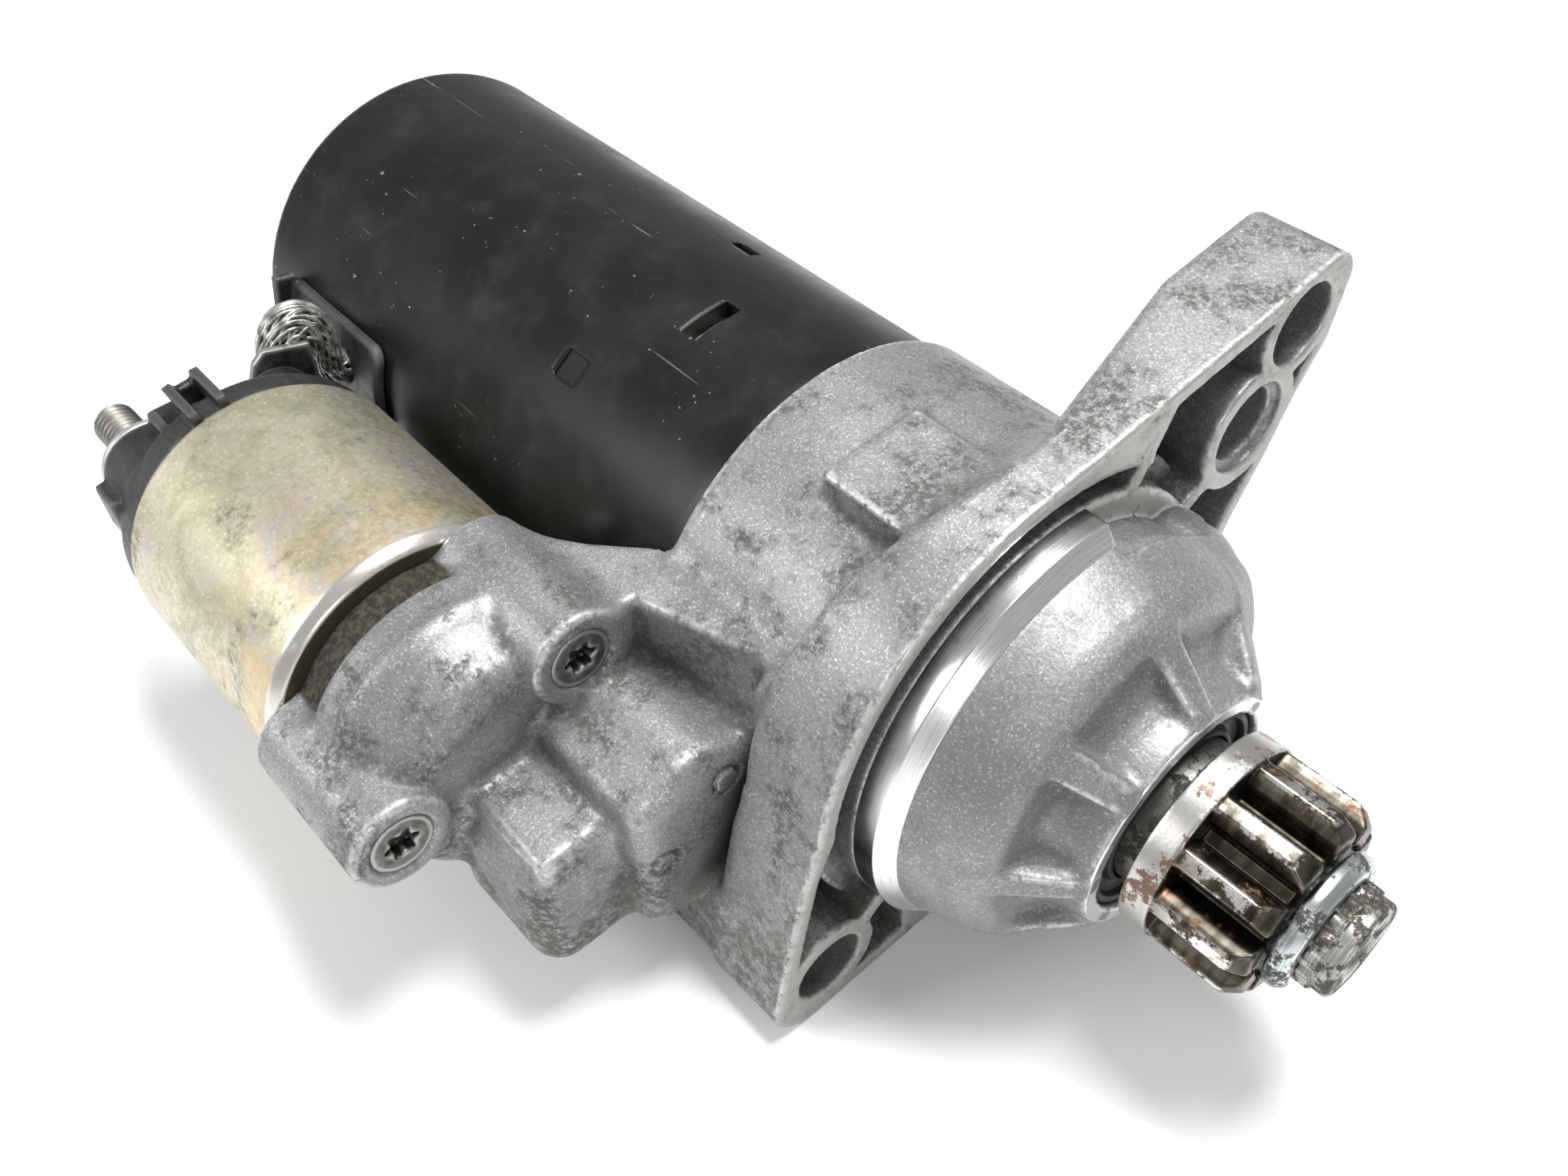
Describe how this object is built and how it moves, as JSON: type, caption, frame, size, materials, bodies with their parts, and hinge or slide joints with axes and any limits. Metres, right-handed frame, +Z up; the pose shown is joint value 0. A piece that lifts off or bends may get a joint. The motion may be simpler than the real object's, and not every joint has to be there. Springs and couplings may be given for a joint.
{
  "type": "starter motor",
  "caption": "Geared starter motor: cylindrical motor body with a side solenoid, cast mounting flange with spigot, and an outboard toothed pinion.",
  "frame": {"origin": "on the shaft axis, in the plane of the machined mounting face of the flange", "axes": "+X along the shaft towards the pinion, the solenoid lies on the -Y side, +Z up as it lies on the foot edge of the flange and the motor body"},
  "size_m": [0.2343, 0.1628, 0.0936],
  "materials": {
    "cast_aluminium": "sand-blasted, dirty",
    "black_paint": "satin",
    "plated_can": "yellow chromate",
    "black_plastic": "matte",
    "cream_plastic": "matte",
    "steel": "machined",
    "dark_steel": "oiled",
    "zinc_steel": "zinc plated",
    "bronze": "sintered bush",
    "copper": "enamelled copper",
    "carbon": "pressed carbon and copper",
    "ferrite": "sintered ferrite",
    "rubber": "moulded",
    "tinned_copper": "braided strands"
  },
  "bodies": {
    "case": {"drive_end_housing": "cast_aluminium", "yoke": "black_paint", "rear_cover": "black_paint", "rear_bush": "bronze", "bearing_cap": "black_paint", "cap_screws": "zinc_steel", "through_bolts": "zinc_steel", "magnets": "ferrite", "brush_plate": "black_plastic", "brushes": "carbon", "brush_springs": "steel", "ring_gear": "cream_plastic", "cover_plate": "steel", "support_plate": "steel", "nose_bearing": "steel", "shaft_seal": "rubber", "lever_pin": "steel", "solenoid_can": "plated_can", "solenoid_cap": "black_plastic", "solenoid_coil": "copper", "solenoid_bobbin": "cream_plastic", "fixed_core": "steel", "return_spring": "steel", "contact_spring": "steel", "battery_stud": "zinc_steel", "battery_nut": "zinc_steel", "motor_stud": "zinc_steel", "lead_tab": "dark_steel", "spade_terminal": "zinc_steel", "solenoid_screws": "dark_steel", "grommet": "rubber", "braided_lead": "tinned_copper"},
    "armature": {"armature_shaft": "steel", "armature_core": "dark_steel", "armature_windings": "copper", "commutator": "copper", "sun_gear": "steel"},
    "carrier": {"planet_carrier": "steel", "planet_pins": "steel", "planet_bushes": "bronze", "output_shaft": "steel"},
    "planet_1": {"planet_gear_1": "steel"},
    "planet_2": {"planet_gear_2": "steel"},
    "planet_3": {"planet_gear_3": "steel"},
    "clutch": {"clutch_driver": "dark_steel", "clutch_shell": "dark_steel", "clutch_rollers": "steel", "clutch_cover": "dark_steel"},
    "pinion": {"pinion_shaft": "steel", "pinion": "steel", "stop_ring": "zinc_steel", "retaining_ring": "dark_steel"},
    "lever": {"fork_lever": "cream_plastic"},
    "plunger": {"plunger": "zinc_steel"},
    "contact": {"contact_rod": "cream_plastic", "contact_bridge": "copper"}
  },
  "joints": [
    {"name": "armature_spin", "type": "hinge", "parent": "case", "child": "armature", "pos_m": [-0.11, 0, 0], "axis": [1, 0, 0], "continuous": true},
    {"name": "carrier_spin", "type": "hinge", "parent": "case", "child": "carrier", "pos_m": [-0.055, 0, 0], "axis": [1, 0, 0], "continuous": true},
    {"name": "planet_1_spin", "type": "hinge", "parent": "carrier", "child": "planet_1", "pos_m": [-0.063, 0.0165, 0], "axis": [1, 0, 0], "continuous": true},
    {"name": "planet_2_spin", "type": "hinge", "parent": "carrier", "child": "planet_2", "pos_m": [-0.063, -0.00825, 0.01429], "axis": [1, 0, 0], "continuous": true},
    {"name": "planet_3_spin", "type": "hinge", "parent": "carrier", "child": "planet_3", "pos_m": [-0.063, -0.00825, -0.01429], "axis": [1, 0, 0], "continuous": true},
    {"name": "clutch_slide", "type": "slide", "parent": "carrier", "child": "clutch", "axis": [1, 0, 0], "range_m": [0, 0.014], "stiffness_N_per_m": 900, "springref_m": -0.004},
    {"name": "pinion_spin", "type": "hinge", "parent": "clutch", "child": "pinion", "pos_m": [0.04, 0, 0], "axis": [1, 0, 0], "continuous": true},
    {"name": "lever_swing", "type": "hinge", "parent": "case", "child": "lever", "pos_m": [-0.038, -0.04, 0], "axis": [0, 0, -1], "range_deg": [0, 20.5]},
    {"name": "plunger_slide", "type": "slide", "parent": "case", "child": "plunger", "axis": [-1, 0, 0], "range_m": [0, 0.0094], "deforming": ["return_spring"]},
    {"name": "contact_slide", "type": "slide", "parent": "case", "child": "contact", "axis": [-1, 0, 0], "range_m": [0, 0.0021], "deforming": ["contact_spring"]}
  ],
  "couplings": [
    {"joint": "carrier_spin", "follows": "armature_spin", "ratio": 0.2},
    {"joint": "planet_1_spin", "follows": "armature_spin", "ratio": -0.53333},
    {"joint": "planet_2_spin", "follows": "armature_spin", "ratio": -0.53333},
    {"joint": "planet_3_spin", "follows": "armature_spin", "ratio": -0.53333},
    {"joint": "lever_swing", "follows": "clutch_slide", "rad_per_m": 24.771},
    {"joint": "plunger_slide", "follows": "clutch_slide", "ratio": 0.6393},
    {"joint": "contact_slide", "follows": "clutch_slide", "ratio": 0.1428}
  ]
}
